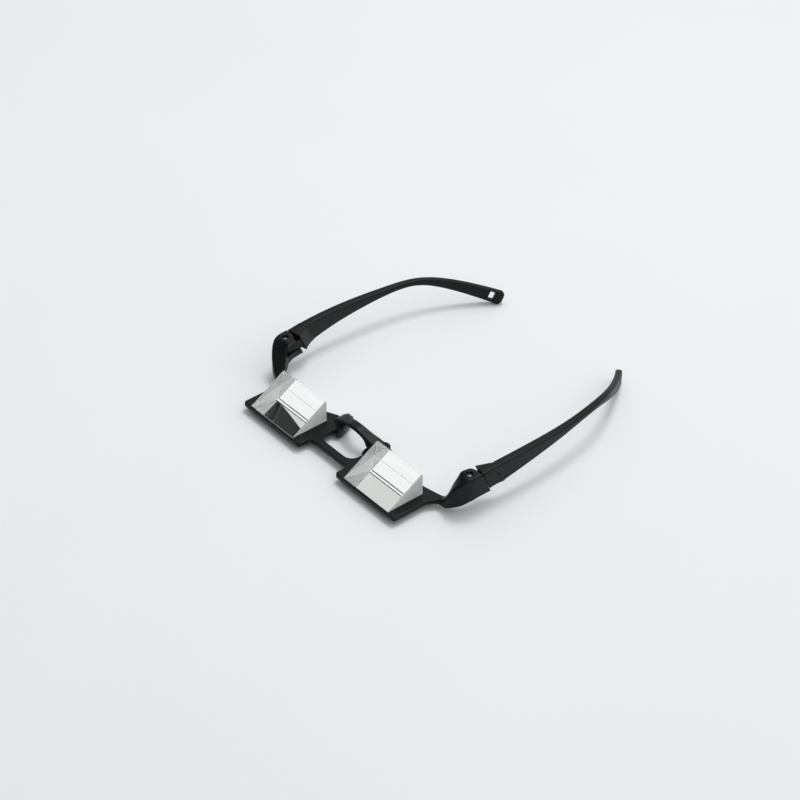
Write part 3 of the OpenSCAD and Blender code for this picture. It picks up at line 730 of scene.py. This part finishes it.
def painted_table():
    """Tabletop with smooth matte paint, pale blue-grey and very slightly uneven."""
    mat, tree, shader, place = new_material("painted_table", Roughness=0.7, IOR=1.45)
    broad = add(tree, "TexNoise", Vector=place, Scale=1 / (120 * MM), Detail=2).outputs["Fac"]
    tone = add(tree, "Mix", {"data_type": "RGBA"}, Factor=broad,
               i6=chosen("table", 0.985), i7=chosen("table", 1.015))
    feed(shader, Base_Color=tone.outputs[2])
    return mat


def material(name, maker, *args):
    """The named material, made once."""
    return bpy.data.materials.get(name) or maker(*args)


# Properties, operators and panel

def colour(name, description, code):
    """Property of a colour."""
    return bpy.props.FloatVectorProperty(name=name, description=description, subtype="COLOR", size=3,
                                         min=0, max=1, default=linear(code)[:3])


def length(name, description, mm):
    """Property of a small length."""
    return bpy.props.FloatProperty(name=name, description=description, unit="LENGTH", min=0,
                                   precision=5, default=mm * MM)


class GlassesColours(bpy.types.PropertyGroup):
    """Colours of the finishes."""
    nylon: colour("Nylon", "Moulded front and temples", "#070a0b")
    rubber: colour("Silicone", "Nose pads", "#171b25")
    glass: colour("Glass", "Polished faces of the prisms", "#feffff")
    frost: colour("Ground glass", "Unpolished ends and edges of the prisms", "#fcfdfd")
    silver: colour("Silvering", "Mirror under the prisms", "#fdfdfd")
    adhesive: colour("Adhesive", "Layer that holds the prisms", "#e0ded6")
    steel: colour("Steel", "Hinge screws", "#66676a")
    brass: colour("Brass", "Threaded inserts", "#c09848")
    table: colour("Table", "Surface that the glasses stand on", "#ebeef0")


class GlassesSizes(bpy.types.PropertyGroup):
    """Small sizes of the finishes."""
    grain: length("Grain", "Lumps of the nylon's moulded grain", 0.32)
    seam_edge: length("Seam edge", "Radius round the temple's front end", 0.4)
    glass_edge: length("Glass edge", "Width of the ground line along each edge of a prism", 0.12)
    recess: length("Recess", "Width of the cross in the screw heads", 0.26)


class GlassesStage(bpy.types.PropertyGroup):
    """Light and camera of the stage."""
    key: bpy.props.FloatProperty(
        name="Key light", description="Power of the softbox overhead", default=5.5, min=0, unit="POWER")
    fill: bpy.props.FloatProperty(
        name="Fill", description="Strength of the light from all round", default=0.65, min=0)
    side: bpy.props.FloatProperty(
        name="Side", description="How much brighter the surroundings are behind the wearer's left",
        default=0.9, min=0, max=1)
    sky: colour("Surroundings", "Colour of the light from all round, seen in gloss and glass", "#ffffff")
    wall: colour("Horizon", "Colour of the surroundings low down, seen through the prisms", "#dddedb")
    lens: bpy.props.FloatProperty(
        name="Lens", description="Focal length of the camera", default=111.9, unit="CAMERA")


class GLASSES_OT_front(bpy.types.Operator):
    """Make the moulded front with its shelves, arch, wings, necks and hinge blocks"""
    bl_idname = "glasses.front"
    bl_label = "Moulded front"

    def execute(self, context):
        nylon = material("moulded_nylon", moulded_nylon)
        finish_piece(moulded_front(), "moulded_front", "front", [nylon], "frame_front")
        return {"FINISHED"}


class GLASSES_OT_temples(bpy.types.Operator):
    """Make both temples"""
    bl_idname = "glasses.temples"
    bl_label = "Temples"

    def execute(self, context):
        nylon = material("moulded_nylon", moulded_nylon)
        finish_pair(temple_arm(), "temple", ("left_arm", "right_arm"), [nylon], "temple")
        return {"FINISHED"}


class GLASSES_OT_prisms(bpy.types.Operator):
    """Make both prisms, with polished faces, ground ends and a silvered base"""
    bl_idname = "glasses.prisms"
    bl_label = "Prisms"

    def execute(self, context):
        finishes = [material("polished_crown_glass", polished_crown_glass),
                    material("ground_glass", ground_glass),
                    material("vacuum_silvering", vacuum_silvering)]
        finish_pair(prism_wedge(), "prism", ("front", "front"), finishes, "prism")
        return {"FINISHED"}


class GLASSES_OT_backing(bpy.types.Operator):
    """Finish the silvering and the adhesive under the prisms"""
    bl_idname = "glasses.backing"
    bl_label = "Backing and adhesive"

    def execute(self, context):
        paint_nodes("mirror_coat", material("vacuum_silvering", vacuum_silvering))
        paint_nodes("prism_adhesive", material("cured_adhesive", cured_adhesive))
        return {"FINISHED"}


class GLASSES_OT_pads(bpy.types.Operator):
    """Make both soft nose pads"""
    bl_idname = "glasses.pads"
    bl_label = "Nose pads"

    def execute(self, context):
        rubber = material("moulded_silicone", moulded_silicone)
        finish_pair(nose_pad(), "pad", ("front", "front"), [rubber], "nose_pad")
        return {"FINISHED"}


class GLASSES_OT_screws(bpy.types.Operator):
    """Make the hinge screws and finish the brass inserts"""
    bl_idname = "glasses.screws"
    bl_label = "Hinge screws"

    def execute(self, context):
        steel = material("turned_steel", turned_metal, "turned_steel", "steel", 0.34)
        brass = material("turned_brass", turned_metal, "turned_brass", "brass", 0.32)
        finish_pair(screw(), "screw", ("front", "front"), [steel], "hinge_screw")
        paint_nodes("hinge_insert", brass)
        return {"FINISHED"}


class GLASSES_OT_stage(bpy.types.Operator):
    """Set the pale table, the soft light and the camera"""
    bl_idname = "glasses.stage"
    bl_label = "Stage"

    def execute(self, context):
        scene = context.scene
        settings = scene.glasses_stage
        half, below = 3.0, -0.02 * MM
        mesh = bpy.data.meshes.new("table")
        corners = [(-half, -half, below), (half, -half, below), (half, half, below), (-half, half, below)]
        mesh.from_pydata(corners, [], [(0, 1, 2, 3)])
        table = bpy.data.objects.new("table", mesh)
        scene.collection.objects.link(table)
        mesh.materials.append(painted_table())

        world = bpy.data.worlds.new("studio")
        scene.world = world
        world.use_nodes = True
        tree = world.node_tree
        tree.nodes.clear()
        ray = add(tree, "LightPath").outputs
        way = add(tree, "TexCoord").outputs["Generated"]
        height = add(tree, "SeparateXYZ", Vector=way).outputs["Z"]
        high = add(tree, "MapRange", Value=height, i1=0, i2=1,
                   i3=settings.fill * 0.65, i4=settings.fill * 1.3).outputs[0]
        across = add(tree, "VectorMath", {"operation": "DOT_PRODUCT"},
                     i0=way, i1=LIT_SIDE).outputs["Value"]
        side = add(tree, "MapRange", Value=across, i1=-1, i2=1,
                   i3=1 - settings.side, i4=1 + settings.side).outputs[0]
        dome = add(tree, "Math", {"operation": "MULTIPLY"}, i0=high, i1=side).outputs[0]
        seen = add(tree, "Math", {"operation": "MAXIMUM"},
                   i0=ray["Is Camera Ray"], i1=ray["Is Transmission Ray"]).outputs[0]
        strength = add(tree, "Mix", {"data_type": "FLOAT"}, Factor=seen, A=dome, B=1.0).outputs[0]
        above = add(tree, "MapRange", Value=height, i1=0.2, i2=0.45, i3=0, i4=1).outputs[0]
        tone = add(tree, "Mix", {"data_type": "RGBA"}, Factor=above,
                   i6=(*settings.wall, 1), i7=(*settings.sky, 1)).outputs[2]
        light = add(tree, "Background", Color=tone, Strength=strength)
        out = tree.nodes.new("ShaderNodeOutputWorld")
        tree.links.new(light.outputs[0], out.inputs[0])

        lamp = bpy.data.lights.new("softbox", "AREA")
        lamp.shape, lamp.size, lamp.energy = "SQUARE", SOFTBOX_WIDTH, settings.key
        box = bpy.data.objects.new("softbox", lamp)
        scene.collection.objects.link(box)
        box.location = SOFTBOX_AT
        box.rotation_euler = (-box.location).to_track_quat("-Z", "Y").to_euler()

        camera = bpy.data.cameras.new("camera")
        camera.lens, camera.sensor_width = settings.lens, 36
        camera.clip_start, camera.clip_end = 0.05, 50
        eye = bpy.data.objects.new("camera", camera)
        scene.collection.objects.link(eye)
        turn = Matrix(CAMERA_AXES).transposed().to_4x4()
        eye.matrix_world = Matrix.Translation(CAMERA_AT) @ turn
        scene.camera = eye
        scene.view_settings.view_transform = "Standard"
        return {"FINISHED"}


class GLASSES_PT_panel(bpy.types.Panel):
    """Lists the pieces of the glasses and the stage"""
    bl_idname = "GLASSES_PT_panel"
    bl_label = "Prism glasses"
    bl_space_type = "VIEW_3D"
    bl_region_type = "UI"
    bl_category = "Glasses"

    def draw(self, context):
        for step in STEPS:
            self.layout.operator(step)
        for group, kind in GROUPS.items():
            for name in kind.__annotations__:
                self.layout.prop(getattr(context.scene, group), name)


GROUPS = {"glasses_colours": GlassesColours, "glasses_sizes": GlassesSizes, "glasses_stage": GlassesStage}
CLASSES = (*GROUPS.values(), GLASSES_OT_stage, GLASSES_OT_front, GLASSES_OT_temples, GLASSES_OT_prisms,
           GLASSES_OT_backing, GLASSES_OT_pads, GLASSES_OT_screws, GLASSES_PT_panel)
STEPS = ("glasses.stage", "glasses.front", "glasses.temples", "glasses.prisms", "glasses.backing",
         "glasses.pads", "glasses.screws")


def register():
    for cls in CLASSES:
        bpy.utils.register_class(cls)
    for group, kind in GROUPS.items():
        setattr(bpy.types.Scene, group, bpy.props.PointerProperty(type=kind))


def unregister():
    for group in GROUPS:
        delattr(bpy.types.Scene, group)
    for cls in reversed(CLASSES):
        bpy.utils.unregister_class(cls)


def main():
    """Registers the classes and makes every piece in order."""
    register()
    for step in STEPS:
        group, name = step.split(".")
        getattr(getattr(bpy.ops, group), name)()


if __name__ == "__main__":
    main()
